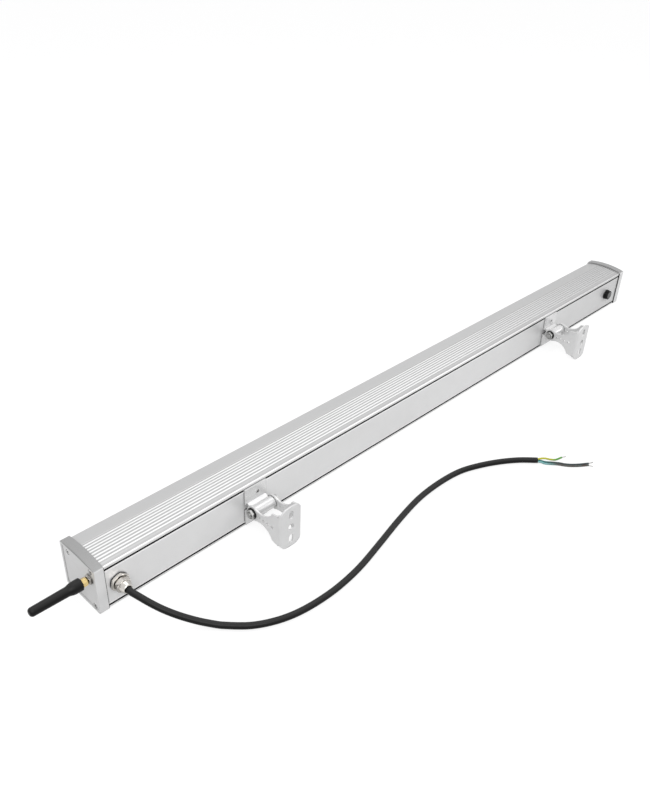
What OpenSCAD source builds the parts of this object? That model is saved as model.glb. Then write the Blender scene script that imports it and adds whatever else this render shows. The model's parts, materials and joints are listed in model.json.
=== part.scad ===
// Outdoor wall washer light: a crowned aluminium bar, lit through a glass strip in
// its back face, with two clips that slide along rails and carry tilting wall feet,
// a cable gland with its cable, a pressure vent and a screw-on radio antenna.
// Origin at the centre of the flat underside, X along the bar, +Z up.
// Clips, gland and vent are on the -Y face, the light leaves the +Y face.

/* [Bar] */
// Overall length over both end caps
lamp_len = 1000; // [760:10:1500]
// Depth of the profile from front to back
profile_w = 56.8; // [56:0.2:62]
// Height of the profile at its front and back corners
profile_h = 53.4; // [53:0.2:58]
// Rise of the ribbed top between those corners
crown_rise = 3.2; // [2.4:0.1:4]
// Rounding of the profile's long edges
profile_edge_r = 1.2; // [0.6:0.1:1.6]
// Thickness of the outer walls
wall = 2.6; // [2.2:0.1:2.8]
// Thickness of the ribbed top
top_t = 3; // [2.6:0.1:3.4]

/* [Ribbed top] */
// Number of grooves
groove_n = 8; // [5:1:8]
// Spacing of the grooves
groove_pitch = 3.8; // [3.6:0.1:4.4]
// Width of one groove
groove_w = 2; // [1.4:0.1:2.4]
// Depth of one groove
groove_d = 1.2; // [0.8:0.1:1.4]
// Plain band between the back face and the first groove
back_band = 19.2; // [18:0.2:21]

/* [Clip rails] */
// Height of each rail's mouth
rail_mouth = 2.4; // [2:0.1:2.6]
// Depth of the rails
rail_depth = 3.6; // [3.4:0.1:4]
// Thickness of the lips that hold a clip
rail_lip = 1.8; // [1.4:0.1:2]
// How far a rail widens behind its lip
rail_undercut = 1.5; // [1.2:0.1:1.6]
// Height of the lower mouth over the underside
rail_low = 2.4; // [2.4:0.1:3]
// Drop of the upper mouth below the top corner
rail_drop = 3.2; // [3.2:0.1:4]
// Metal left behind the rails
rail_web = 2.4; // [2:0.1:2.8]

/* [Light side] */
// Depth from the back face to the light board's seat
optic_depth = 16.4; // [16:0.2:18]
// Thickness of the wall that carries the light board
web_t = 3; // [2.4:0.2:4]
// Thickness of the glass
glass_t = 4; // [3:0.2:4.4]
// Thickness of the seal between glass and outer lips
seal_t = 0.6; // [0.4:0.1:1]
// Thickness of the lips on each side of the glass
glass_lip = 1.6; // [1.2:0.1:1.8]
// Height of the light opening's lower edge over the underside
window_low = 6.8; // [6.4:0.1:7.2]
// Drop of its upper edge below the profile's top corner
window_drop = 6.6; // [6.4:0.1:7.2]
// How far the glass reaches behind the lips
glass_grip = 2.8; // [2:0.1:3]

/* [Light board] */
// Gap between the light board and the opening's edges
led_board_gap = 3; // [2:0.5:4]
// Distance of the light board from each end of the profile
led_end_gap = 11; // [10:1:20]
// Thickness of the circuit boards
board_t = 1.6; // [1.2:0.1:2]
// Spacing of the light points
led_pitch = 26.4; // [25.6:0.2:40]
// Side of one light chip
chip_side = 3.5; // [2.5:0.1:4]
// Height of one light chip
chip_t = 2; // [1.4:0.1:2.2]
// Radius of a lens at its mouth
lens_r = 10; // [8:0.1:10.4]
// Radius of a lens at its foot
lens_foot_r = 5.5; // [4.5:0.1:6]
// Wall of a lens holder
holder_wall = 1; // [0.8:0.1:1.2]

/* [Driver and radio] */
// Distance of the driver board from the near end
driver_inset = 140; // [130:5:180]
// Length of the driver board
driver_len = 320; // [280:5:360]
// Distance of the radio board from the near end
radio_inset = 60; // [56:1:66]
// Length of the radio board
radio_len = 40; // [40:1:50]

/* [End caps] */
// Thickness of an end cap
cap_t = 10.2; // [9.6:0.1:12]
// How far a cap stands proud of the profile
cap_proud = 1.6; // [1.2:0.1:2]
// Rounding of the cap's edges
cap_edge_r = 1.8; // [1.4:0.1:2.6]
// Thickness of the cap's plate
cap_plate = 3.2; // [3:0.1:3.6]
// Width of the rim behind the plate
cap_rim = 3; // [2.4:0.1:3.4]
// Border of the shallow panel in the cap's face
panel_border = 3; // [2:0.1:4]
// Depth of that panel
panel_d = 0.6; // [0.4:0.1:0.8]
// Thickness of the end gaskets
gasket_t = 0.8; // [0.6:0.1:1.4]
// How far a gasket stands proud of the profile's front and back
gasket_proud = 0.9; // [0.2:0.1:1]
// Drop of a gasket's top edge below the ribs
gasket_drop = 0.3; // [0.2:0.1:0.6]

/* [Small screws] */
// Radius of the M3 screws
screw_r = 1.5; // [1.4:0.05:1.6]
// Radius of their heads
screw_head_r = 2.75; // [2.5:0.05:2.9]
// Height of their heads
screw_head_t = 1.8; // [1.6:0.1:2]
// Length of a cap screw under its head
cap_screw_len = 16; // [14:0.2:20]

/* [Cable gland] */
// Distance of the gland from the near end
gland_inset = 24.5; // [24:0.5:34]
// Height of the gland over the middle of the front face
gland_rise = 0.6; // [-2:0.2:2]
// Radius of its threaded stem, M16
gland_r = 8; // [7:0.1:8.2]
// Across flats of its flange
gland_af = 18; // [17.5:0.5:20]
// Thickness of its flange
gland_flange_t = 3.5; // [2.5:0.1:4]
// Across flats of its dome nut
gland_nut_af = 14.4; // [14.2:0.2:17]
// How far the gland stands out of the bar
gland_out = 16.5; // [15.5:0.1:20]
// Diameter of the cable
cable_d = 7; // [6:0.1:7.4]
// Diameter of a core with its insulation
core_d = 2.3; // [1.8:0.1:2.6]

/* [Pressure vent] */
// Distance of the vent from the far end
vent_inset = 44.5; // [30:0.5:80]
// Height of the vent over the middle of the front face
vent_rise = 1; // [-3:0.2:5]
// Radius of its stem, M12
vent_r = 6; // [5:0.1:6]
// Radius of its head
vent_head_r = 7.75; // [7.4:0.05:9]
// Height of its head over the bar
vent_out = 7; // [5:0.1:9]

/* [Antenna] */
// Distance of the antenna's axis from the profile's front face
antenna_inset = 8.5; // [8.2:0.1:10]
// Drop of the antenna's axis below the profile's top corner
antenna_drop = 13.4; // [13.4:0.1:16]
// Radius of the jack's thread
jack_r = 3.175; // [3:0.005:3.2]
// Across flats of the jack's nut
jack_nut_af = 9.5; // [9:0.1:10]
// How far the antenna stands out of the cap
antenna_len = 62; // [45:0.5:110]
// Radius of the sleeve's thick foot
sleeve_foot_r = 6.45; // [5.4:0.05:7]
// Radius of the sleeve near its tip
sleeve_tip_r = 4.6; // [3.6:0.1:5]

/* [Clips] */
// Distance of the near clip's centre from the near end
near_clip_inset = 197; // [120:1:300]
// Distance of the far clip's centre from the far end
far_clip_inset = 218; // [120:1:300]
// Length of a clip along the bar
clip_len = 30; // [29:0.5:40]
// Thickness of a clip's plate
clip_plate_t = 2.2; // [1.8:0.1:2.4]
// Distance from the bar's front face to the pivot
pivot_out = 13.5; // [13.2:0.1:18]
// Outer radius of the pivot barrel
barrel_r = 6.8; // [6:0.1:7]
// Length of the pivot barrel
barrel_len = 26; // [22:0.5:28]
// Radius of the pivot bolt, M6
pivot_r = 3; // [2.5:0.05:3.2]
// Radius of the lock screw
lock_r = 2; // [1.5:0.1:2.2]

/* [Wall feet] */
// Thickness of the foot's sheet
foot_t = 2; // [1.5:0.1:2.4]
// Distance from the pivot to the foot's outer face
foot_reach = 43.9; // [42:0.1:56]
// Radius of the cheek round the pivot
cheek_r = 8.5; // [8:0.1:9.5]
// Width of the fixing slots
slot_w = 6; // [4:0.1:7]
// Length of the fixing slots
slot_len = 11; // [8:0.1:12]
// Distance of a fixing slot's middle from the foot's upper or lower edge
slot_inset = 10.5; // [9.5:0.1:12]
// Diameter of the middle hole
foot_hole_d = 8; // [6:0.1:9]

/* [Clearances] */
// Radial gap round screws, stems and pins
fit = 0.05; // [0.03:0.01:0.1]
// Play of a clip in the rail mouths
rail_play = 0.25; // [0.1:0.05:0.4]
// Gap between a clip's plate and the bar
clip_gap = 0.15; // [0.1:0.05:0.3]
// Gap on each side between a barrel and the foot's cheeks
cheek_gap = 0.25; // [0.2:0.05:0.5]

/* [Hidden] */
$fn = 64;
big_fn = 360;
eps = 1;

// Lengths and faces along X
half_len = lamp_len / 2;
profile_half = half_len - cap_t - gasket_t;
gland_x = -half_len + gland_inset;
vent_x = half_len - vent_inset;
near_clip_x = -half_len + near_clip_inset;
far_clip_x = half_len - far_clip_inset;

// The arch over the profile
arch_r = (profile_w * profile_w / 4 + crown_rise * crown_rise) / (2 * crown_rise);
arch_z = profile_h + crown_rise - arch_r;
function top_z(y) = arch_z + sqrt(arch_r * arch_r - y * y);

// Faces along Y, from the front to the back
front_y = -profile_w / 2;
back_y = profile_w / 2;
rail_y = front_y + rail_depth;
chamber_y = rail_y + rail_web;
web_y1 = back_y - optic_depth;
web_y0 = web_y1 - web_t;
glass_y1 = back_y - glass_lip - seal_t;
glass_y0 = glass_y1 - glass_t;
lip_y = glass_y0 - glass_lip;

// Heights of rails, light opening and glass
low_mouth = [rail_low, rail_low + rail_mouth];
high_mouth = [profile_h - rail_drop - rail_mouth, profile_h - rail_drop];
rail_shelf = 2.6;
window_z = [window_low, profile_h - window_drop];
glass_z = [window_z[0] - glass_grip, window_z[1] + glass_grip];
glass_play = 0.2;
light_z = (window_z[0] + window_z[1]) / 2;
gland_z = profile_h / 2 + gland_rise;
vent_z = profile_h / 2 + vent_rise;
antenna_z = profile_h - antenna_drop;

// Screw ports in the profile, as [y, z]
port_wall = 1.5;
port_r = screw_r + fit;
ports_low = [[front_y + 7, 5.2], [back_y - 10.4, 5.8]];
ports_high = [[front_y + 7, profile_h - 4.4], [back_y - 10.4, profile_h - 6]];
ports = concat(ports_low, ports_high);

// Driver and radio boards in their slots
board_y0 = web_y0 - 8;
board_y1 = board_y0 + board_t;
slot_play = 0.2;
ridge_w = 1.4;
ridge_h = 2.4;
board_z0 = wall + slot_play;
board_z1 = top_z(board_y1) - top_t - slot_play;
board_mid = (board_z0 + board_z1) / 2;
driver_x = -half_len + driver_inset;
radio_x = -half_len + radio_inset;
terminal = [12, 10, 13];
terminal_inset = 2;
lead_y = board_y0 - 7;

// Light points along the light board
led_board_len = 2 * (profile_half - led_end_gap);
led_board_h = window_z[1] - window_z[0] - 2 * led_board_gap;
holder_r = lens_r + 0.15 + holder_wall;
led_n = floor((led_board_len - 2 * holder_r - 4) / led_pitch) + 1;
led_x = [for (i = [0 : led_n - 1]) (i - (led_n - 1) / 2) * led_pitch];
optic_room = glass_y0 - web_y1;
holder_h = optic_room - board_t - 0.8;
lens_h = holder_h - 0.2;
screw_gaps = [for (k = [1 : 3]) round(k * led_n / 6.5)];
board_screw_x = [for (k = screw_gaps, s = [-1, 1]) s * (k - (led_n % 2) / 2) * led_pitch];
board_screw_dz = led_board_h / 2 - 4;
lead_hole_x = driver_x + driver_len + 9;
lead_hole_r = 3;

// Gland, measured outwards from the bar's front face
gland_washer_t = 1;
gland_flange_z = gland_washer_t + gland_flange_t;
gland_nut_z = gland_flange_z + 0.5;
gland_neck_r = 5.8;
gland_neck_z = gland_out - 5.5;
gland_stem = 8;
gland_bore_r = cable_d / 2 + 0.7;
gland_mouth_r = cable_d / 2 + 0.4;
gland_seal_r = 4.7;
gland_turn = 20;
jacket_end_y = chamber_y + 8.4;

// Antenna, measured outwards from the cap's outer face
antenna_y = front_y + antenna_inset;
jack_washer_t = 0.8;
jack_nut_t = 2.6;
jack_nut_z = jack_washer_t - panel_d;
jack_end_z = jack_nut_z + jack_nut_t + 3.2;
coupling_z = [jack_end_z - 2.4, jack_end_z + 2.9];
ferrule_z = jack_end_z + 0.2;
ferrule_r = 2.6;
sleeve_z = coupling_z[1] + 0.3;
jack_flange_t = 2.8;
jack_tail_z = -cap_plate - jack_flange_t - 4;

// Clip and pivot
clip_y0 = front_y - clip_gap;
clip_y1 = clip_y0 - clip_plate_t;
hook_low = [low_mouth[0] + rail_play, low_mouth[1] - rail_play];
hook_high = [high_mouth[0] + rail_play, high_mouth[1] - rail_play];
barb_y = [front_y + rail_lip + 0.3, rail_y - 0.3];
barb_reach = rail_undercut - rail_play;
pivot_y = front_y - pivot_out;
pivot_z = profile_h / 2 - 0.2;
lock_z = pivot_z + 13;
lock_dx = 2.8;
lock_sunk = 0.3;
slit_w = 1.4;
slit_turn = 38;

// Foot bracket, from its pivot outwards. It is as high as the pivot lets it be on
// a surface that the bar lies on, and its arch clears the bar's edges when it turns
foot_half_h = pivot_z;
cheek_in = barrel_len / 2 + cheek_gap;
cheek_out = cheek_in + foot_t;
bend_r = 3;
bend_len = 4.5;
horn_h = foot_half_h - 8.5;
horn_flare = 2;
waist = 6.2;
waist_at = foot_half_h / 2 - 0.25;
waist_r = foot_half_h - 7.5;
plate_w = cheek_out + 0.5;
plate_r = 12;
slot_offset = foot_half_h - slot_inset;
// Small holes in the cheeks as [distance from the pivot, radius]
cheek_holes = [[11.6, 1.2], [17.5, 1.3], [23.8, 1.5], [31, 1.7]];
washer_t = 1;
washer_r = 6.3;
nut_af = 10;
nut_t = 3.2;
bolt_head_t = 4;
bolt_end = 1;

// Route of the cable from the gland's mouth, bending down to lie on the floor
cable_exit = [gland_x, front_y - gland_out, gland_z];
floor_dz = cable_d / 2 - gland_z;
cable_route = [
    [0, 0, 0], [0.3, -5, -0.1], [2.2, -12, -0.9], [6.9, -24.3, -4.2], [12.5, -35, -8.1],
    [19, -44.3, -12.2], [26.1, -52.8, -16.1], [33.6, -61.1, -19.6], [41.3, -69.2, -22.3],
    [48.8, -77.6, floor_dz], [59, -88.4, floor_dz], [69, -97.2, floor_dz],
    [82, -105.2, floor_dz], [98, -112, floor_dz], [116, -116.5, floor_dz],
    [139, -119, floor_dz], [166, -119, floor_dz], [200, -115, floor_dz],
    [240, -106, floor_dz], [286, -95, floor_dz], [330, -87, floor_dz],
    [370, -85.5, floor_dz], [404, -89, floor_dz], [431, -98.5, floor_dz],
    [455, -111, floor_dz], [475, -125, floor_dz], [491, -140.5, floor_dz]
];

// Routes of the three cores from the middle of the cable's cut end, without the
// first points, which lie round the middle of that end
core_dz = core_d / 2 - cable_d / 2;
core_side = 1.5;
core_up = 1.6;
core_down = -0.8;
earth_route = [
    [4.5, -2.2, 1.6], [9, -5.5, 1.2], [14.5, -9.5, -1], [21, -13.7, core_dz], [30, -16, core_dz]
];
live_route = [
    [1.8, -4.4, -1.5], [4.6, -9.9, core_dz], [14, -20.8, core_dz], [18.4, -27.9, core_dz],
    [23.8, -34.3, core_dz], [31.4, -40.9, core_dz], [40.5, -47.2, core_dz]
];
neutral_route = [
    [4.5, -2.7, -1.7], [7.7, -7.9, core_dz], [17, -19, core_dz], [21.2, -26.2, core_dz],
    [26.7, -32.6, core_dz], [34.5, -39.1, core_dz], [43.8, -45.3, core_dz]
];
tip_d = 1.4;
earth_tip = [6, -2.4, 0];
live_tip = [1.8, -4.9, 0];
neutral_tip = [6.1, -2.4, 0];

// Colours
alloy = [0.82, 0.83, 0.84];
cast = [0.78, 0.78, 0.78];
steel = [0.75, 0.75, 0.74];
nickel = [0.8, 0.78, 0.74];
black = [0.06, 0.06, 0.06];

// A rectangle from low to high corner
module rect(x0, x1, y0, y1) {
    translate([x0, y0]) square([x1 - x0, y1 - y0]);
}

// A section drawn as [y, z], extruded along X about the middle of the bar
module along_x(len) {
    rotate([90, 0, 90]) linear_extrude(height = len, center = true) children();
}

// Places whose own +Z points out of the front face, out of the near cap,
// out of the light board's seat, and along +X through a pivot
module on_front(x, z) {
    translate([x, front_y, z]) rotate([90, 0, 0]) children();
}
module on_near_cap() {
    translate([-half_len, antenna_y, antenna_z]) rotate([0, -90, 0]) children();
}
module on_light_seat(x, z) {
    translate([x, web_y1, z]) rotate([-90, 0, 0]) children();
}
module on_pivot(x) {
    translate([x, pivot_y, pivot_z]) rotate([0, 90, 0]) children();
}

// A disc or ring between two heights
module ring(r_out, r_in, z0, z1) {
    translate([0, 0, z0]) difference() {
        cylinder(r = r_out, h = z1 - z0);
        if (r_in > 0) translate([0, 0, -eps]) cylinder(r = r_in, h = z1 - z0 + 2 * eps);
    }
}

// A hexagon with chamfered corners between two heights
module hex_body(af, z0, z1) {
    corner = af / 2 / cos(30);
    bevel = (corner - af / 2) * 0.8;
    flat_r = af / 2 - 0.1;
    intersection() {
        translate([0, 0, z0]) cylinder(r = corner, h = z1 - z0, $fn = 6);
        rotate_extrude() polygon([
            [0, z0], [flat_r, z0], [corner, z0 + bevel],
            [corner, z1 - bevel], [flat_r, z1], [0, z1]
        ]);
    }
}

module hex_nut(af, bore_r, z0, z1) {
    difference() {
        hex_body(af, z0, z1);
        translate([0, 0, z0 - eps]) cylinder(r = bore_r, h = z1 - z0 + 2 * eps);
    }
}

// Flat base, upright sides and arched top. The arch crosses each top corner's
// rounding a few degrees before the point where it would run on smoothly
module crowned(w, h, rise, r) {
    big_r = (w * w / 4 + rise * rise) / (2 * rise);
    centre = h + rise - big_r;
    side = w / 2 - r;
    lean = asin(side / (big_r - r));
    cross_turn = 80 - lean;
    cross_y = side + r * cos(cross_turn);
    shoulder = centre + sqrt(big_r * big_r - cross_y * cross_y) - r * sin(cross_turn);
    under_top = side + r * sin(lean);
    intersection() {
        translate([0, centre]) circle(r = big_r, $fn = big_fn);
        union() {
            rect(-w / 2, w / 2, r, shoulder);
            rect(-side, side, 0, shoulder);
            rect(-under_top, under_top, r, h + 2 * rise);
            for (s = [-1, 1], z = [r, shoulder]) translate([s * side, z]) circle(r = r);
        }
    }
}

// Everything below the arch, less a thickness
module under_arch(drop) {
    translate([0, arch_z]) circle(r = arch_r - drop, $fn = big_fn);
}

// Grooves with an upright front wall and a slope towards the back
module grooves() {
    for (i = [0 : groove_n - 1]) {
        y1 = back_y - back_band - i * groove_pitch;
        y0 = y1 - groove_w;
        floor_z = top_z(y0) - groove_d;
        past = 1 + 0.4 / groove_w;
        slope_end = [y0 + groove_w * past, floor_z + (top_z(y1) - floor_z) * past];
        polygon([
            [y0, top_z(y0) + eps], [y0, floor_z], slope_end, slope_end + [0, eps]
        ]);
    }
}

// The two undercut rails in the front face
module rails() {
    pocket_y = front_y + rail_lip;
    rect(front_y - eps, rail_y, low_mouth[0], low_mouth[1]);
    rect(pocket_y, rail_y, low_mouth[0] - rail_undercut, low_mouth[1]);
    rect(front_y - eps, rail_y, high_mouth[0], high_mouth[1]);
    rect(pocket_y, rail_y, high_mouth[0], high_mouth[1] + rail_undercut);
}

module port_bosses() {
    boss_r = port_r + port_wall;
    for (p = ports) translate(p) circle(r = boss_r);
    for (p = ports_low) rect(p[0] - boss_r, p[0] + boss_r, 0, p[1]);
    for (p = ports_high) rect(p[0] - boss_r, p[0] + boss_r, p[1], profile_h + crown_rise);
}

// Ridges that hold the edges of the driver and radio boards
module board_ridges() {
    for (y = [board_y0 - slot_play - ridge_w, board_y1 + slot_play]) {
        rect(y, y + ridge_w, 0, wall + ridge_h);
        rect(y, y + ridge_w, board_z1 + slot_play - ridge_h, profile_h + crown_rise);
    }
}

module driver_chamber() {
    difference() {
        intersection() {
            under_arch(top_t);
            union() {
                rect(chamber_y, web_y0, wall, profile_h + crown_rise);
                rect(front_y + wall, chamber_y + eps, low_mouth[1] + rail_shelf,
                    high_mouth[0] - rail_shelf);
            }
        }
        port_bosses();
        board_ridges();
    }
}

module light_chamber() {
    difference() {
        intersection() {
            under_arch(top_t);
            rect(web_y1, lip_y, wall, profile_h + crown_rise);
        }
        port_bosses();
    }
    rect(lip_y - eps, back_y + eps, window_z[0], window_z[1]);
    rect(glass_y0, glass_y1 + seal_t, glass_z[0], glass_z[1]);
}

module profile_section() {
    difference() {
        crowned(profile_w, profile_h, crown_rise, profile_edge_r);
        grooves();
        rails();
        driver_chamber();
        light_chamber();
        for (p = ports) translate(p) circle(r = port_r);
    }
}

module housing_profile() {
    color(alloy) difference() {
        along_x(2 * profile_half) profile_section();
        on_front(gland_x, gland_z) ring(gland_r + 2 * fit, 0, -wall - eps, eps);
        on_front(vent_x, vent_z) ring(vent_r + 2 * fit, 0, -wall - eps, eps);
        on_light_seat(lead_hole_x, light_z) ring(lead_hole_r, 0, -web_t - eps, eps);
        for (x = board_screw_x, s = [-1, 1])
            on_light_seat(x, light_z + s * board_screw_dz) ring(screw_r + fit, 0, -web_t - eps, eps);
    }
}

module front_glass() {
    color([0.8, 0.9, 0.92, 0.5]) along_x(2 * profile_half - 1)
        rect(glass_y0, glass_y1, glass_z[0] + glass_play, glass_z[1] - glass_play);
}

module glass_seal() {
    edge = glass_grip - glass_play;
    color(black) difference() {
        along_x(2 * profile_half - 1)
            rect(glass_y1, glass_y1 + seal_t, glass_z[0] + glass_play, glass_z[1] - glass_play);
        along_x(2 * profile_half - 1 - 2 * edge)
            rect(glass_y1 - eps, back_y, window_z[0] + glass_play, window_z[1] - glass_play);
    }
}

module led_board() {
    color("white") difference() {
        along_x(led_board_len)
            rect(web_y1, web_y1 + board_t, light_z - led_board_h / 2, light_z + led_board_h / 2);
        for (x = board_screw_x, s = [-1, 1])
            on_light_seat(x, light_z + s * board_screw_dz) ring(screw_r + 2 * fit, 0, -eps, board_t + eps);
    }
}

module led_chips() {
    color("gold") for (x = led_x) on_light_seat(x, light_z)
        translate([-chip_side / 2, -chip_side / 2, board_t]) cube([chip_side, chip_side, chip_t]);
}

module lenses() {
    hollow_r = chip_side * 0.92;
    color([0.9, 0.95, 1, 0.6]) for (x = led_x) on_light_seat(x, light_z) difference() {
        translate([0, 0, board_t]) cylinder(r1 = lens_foot_r, r2 = lens_r, h = lens_h);
        translate([0, 0, board_t - eps]) cylinder(r = hollow_r, h = chip_t + 1 + eps);
    }
}

module lens_holders() {
    color(black) for (x = led_x) on_light_seat(x, light_z)
        ring(holder_r, holder_r - holder_wall, board_t, board_t + holder_h);
}

// A screw whose head rests on z = 0 and whose shank points to -Z
module screw(shank_len) {
    difference() {
        union() {
            cylinder(r = screw_head_r, h = screw_head_t);
            translate([0, 0, -shank_len]) cylinder(r = screw_r, h = shank_len + eps);
        }
        translate([0, 0, screw_head_t - 1]) cylinder(r = screw_r * 0.85, h = 2, $fn = 6);
    }
}

module board_screws() {
    color(steel) for (x = board_screw_x, s = [-1, 1])
        on_light_seat(x, light_z + s * board_screw_dz)
            translate([0, 0, board_t]) screw(board_t + web_t - 0.3);
}

// A circuit board in the slots
module slot_board(x0, len) {
    translate([x0, board_y0, board_z0]) cube([len, board_t, board_z1 - board_z0]);
}

// A block or a can that stands on the driver board, its foot centre at [x, z]
module on_board(x, z) {
    translate([x, board_y0, z]) rotate([90, 0, 0]) children();
}
module block_on_board(x, z, size) {
    on_board(x, z) translate([-size[0] / 2, -size[2] / 2, 0]) cube([size[0], size[2], size[1]]);
}

module driver_board() {
    color("darkgreen") slot_board(driver_x, driver_len);
}

module driver_components() {
    terminal_at = terminal_inset + terminal[0] / 2;
    // Blocks as [share of the board's length, height over its middle,
    // [length, height off the board, width]]
    blocks = [
        [0.144, 8.4, [26, 12, 16]], [0.225, -10.6, [16, 16, 18]], [0.42, -0.6, [34, 17, 32]],
        [0.612, 12.4, [30, 14, 6]], [0.762, -10.6, [22, 10, 14]]
    ];
    // Cans as [share of the board's length, height over its middle, radius, height]
    cans = [
        [0.1, -12.6, 5, 10], [0.306, 10.4, 8, 18], [0.306, -10.6, 8, 18], [0.525, -12.6, 5, 12],
        [0.68, -10.6, 6, 15], [0.838, 7.4, 6, 15], [0.9, -7.6, 5, 12]
    ];
    color("dimgray") {
        block_on_board(driver_x + terminal_at, gland_z, terminal);
        block_on_board(driver_x + driver_len - terminal_at, light_z, terminal);
        for (b = blocks) block_on_board(driver_x + b[0] * driver_len, board_mid + b[1], b[2]);
        for (c = cans) on_board(driver_x + c[0] * driver_len, board_mid + c[1])
            cylinder(r = c[2], h = c[3]);
    }
}

module radio_module() {
    color("navy") {
        slot_board(radio_x, radio_len);
        block_on_board(radio_x + 29, board_mid - 3.6, [18, 3, 20]);
        on_board(radio_x + 10, antenna_z) cylinder(r = 1.5, h = 3);
    }
}

// A lead that starts at the origin along +Y, turns and runs on along +X
module bent_lead(r, first, turn_r, second) {
    rotate([-90, 0, 0]) cylinder(r = r, h = first);
    translate([turn_r, first, 0]) rotate([0, 0, 90]) rotate_extrude(angle = 90)
        translate([turn_r, 0]) circle(r = r);
    translate([turn_r, first + turn_r, 0]) rotate([0, 90, 0]) cylinder(r = r, h = second);
}

// The same lead backwards: along +X first, then along +Y
module lead_into_board(r, first, turn_r, second) {
    rotate([0, 90, 0]) cylinder(r = r, h = first);
    translate([first, turn_r, 0]) rotate([0, 0, -90]) rotate_extrude(angle = 90)
        translate([turn_r, 0]) circle(r = r);
    translate([first + turn_r, turn_r, 0]) rotate([-90, 0, 0]) cylinder(r = r, h = second);
}

module antenna_pigtail() {
    turn_r = 6;
    plug_y = board_y0 - 3;
    start_x = -half_len - jack_tail_z;
    color("saddlebrown") translate([start_x, antenna_y, antenna_z])
        lead_into_board(0.9, radio_x + 10 - turn_r - start_x, turn_r, plug_y - antenna_y - turn_r);
}

module inner_supply_lead() {
    len = gland_out + jacket_end_y - front_y;
    color(black) translate([gland_x, front_y - gland_out, gland_z])
        rotate([-90, 0, 0]) cylinder(d = cable_d, h = len);
}

module supply_wires() {
    turn_r = 6;
    first = lead_y - jacket_end_y - turn_r;
    run = driver_x + terminal_inset - gland_x - turn_r;
    color("firebrick") for (i = [-1, 0, 1])
        translate([gland_x, jacket_end_y, gland_z + i * 2.2]) bent_lead(1, first, turn_r, run);
}

module led_leads() {
    turn_r = 5;
    start_x = driver_x + driver_len - terminal_inset;
    color("firebrick") for (s = [-1, 1]) translate([start_x, lead_y, light_z + s * 1.2])
        lead_into_board(0.8, lead_hole_x - turn_r - start_x, turn_r, web_y1 - lead_y - turn_r);
}

// Outline of an end cap and the hollow behind its plate
module cap_outline(inset) {
    translate([0, inset]) crowned(profile_w + 2 * (cap_proud - inset),
        profile_h + cap_proud - 2 * inset, crown_rise + 0.2, max(cap_edge_r - inset, 0.6));
}

// An end cap with its outer face on z = 0 of the section, built for the far end
module end_cap(with_jack) {
    outer_x = half_len;
    inner_x = half_len - cap_t;
    column_r = 4.2;
    sink_r = screw_head_r + 0.3;
    sink_x = outer_x - panel_d - screw_head_t - 0.2;
    difference() {
        from_to_x(inner_x, outer_x) cap_outline(0);
        from_to_x(outer_x - panel_d, outer_x + eps) cap_outline(panel_border);
        from_to_x(inner_x - eps, outer_x - cap_plate) difference() {
            cap_outline(cap_rim);
            for (p = ports) translate(p) circle(r = column_r);
        }
        from_to_x(inner_x - eps, outer_x + eps) for (p = ports) translate(p) circle(r = screw_r + 2 * fit);
        from_to_x(sink_x, outer_x + eps) for (p = ports) translate(p) circle(r = sink_r);
        if (with_jack) from_to_x(inner_x - eps, outer_x + eps)
            translate([antenna_y, antenna_z]) circle(r = jack_r + 2 * fit);
    }
}

// A section drawn as [y, z], extruded from one x to another
module from_to_x(x0, x1) {
    translate([x0, 0, 0]) rotate([90, 0, 90]) linear_extrude(height = x1 - x0) children();
}

module end_cap_near() {
    color(cast) mirror([1, 0, 0]) end_cap(true);
}
module end_cap_far() {
    color(cast) end_cap(false);
}

// Flat gasket whose windows leave the screw ports and the web covered. It stands
// proud of the front and back, and ends a little below the ribs
module end_gasket() {
    window = 3.4;
    from_to_x(profile_half, profile_half + gasket_t) difference() {
        crowned(profile_w + 2 * gasket_proud, profile_h - gasket_drop, crown_rise, profile_edge_r);
        difference() {
            translate([0, window]) crowned(profile_w - 2 * window, profile_h - 2 * window,
                crown_rise, profile_edge_r);
            port_bosses();
            rect(web_y0, web_y1, 0, profile_h + crown_rise);
        }
        for (p = ports) translate(p) circle(r = screw_r + 2 * fit);
    }
}

module end_gasket_near() {
    color(black) mirror([1, 0, 0]) end_gasket();
}
module end_gasket_far() {
    color(black) end_gasket();
}

module cap_screws() {
    seat_x = half_len - panel_d - screw_head_t - 0.2;
    for (p = ports) translate([seat_x, p[0], p[1]]) rotate([0, 90, 0]) screw(cap_screw_len);
}

module cap_screws_near() {
    color(steel) mirror([1, 0, 0]) cap_screws();
}
module cap_screws_far() {
    color(steel) cap_screws();
}

module gland_body() {
    color(nickel) on_front(gland_x, gland_z) difference() {
        union() {
            rotate([0, 0, gland_turn]) hex_body(gland_af, gland_washer_t, gland_flange_z);
            cylinder(r = gland_neck_r, h = gland_neck_z);
            translate([0, 0, -gland_stem]) cylinder(r = gland_r, h = gland_stem + gland_washer_t);
        }
        translate([0, 0, -gland_stem - eps]) cylinder(r = gland_bore_r, h = gland_stem + gland_out);
        translate([0, 0, gland_neck_z - 3]) cylinder(r = gland_seal_r + fit, h = 3 + eps);
    }
}

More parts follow.
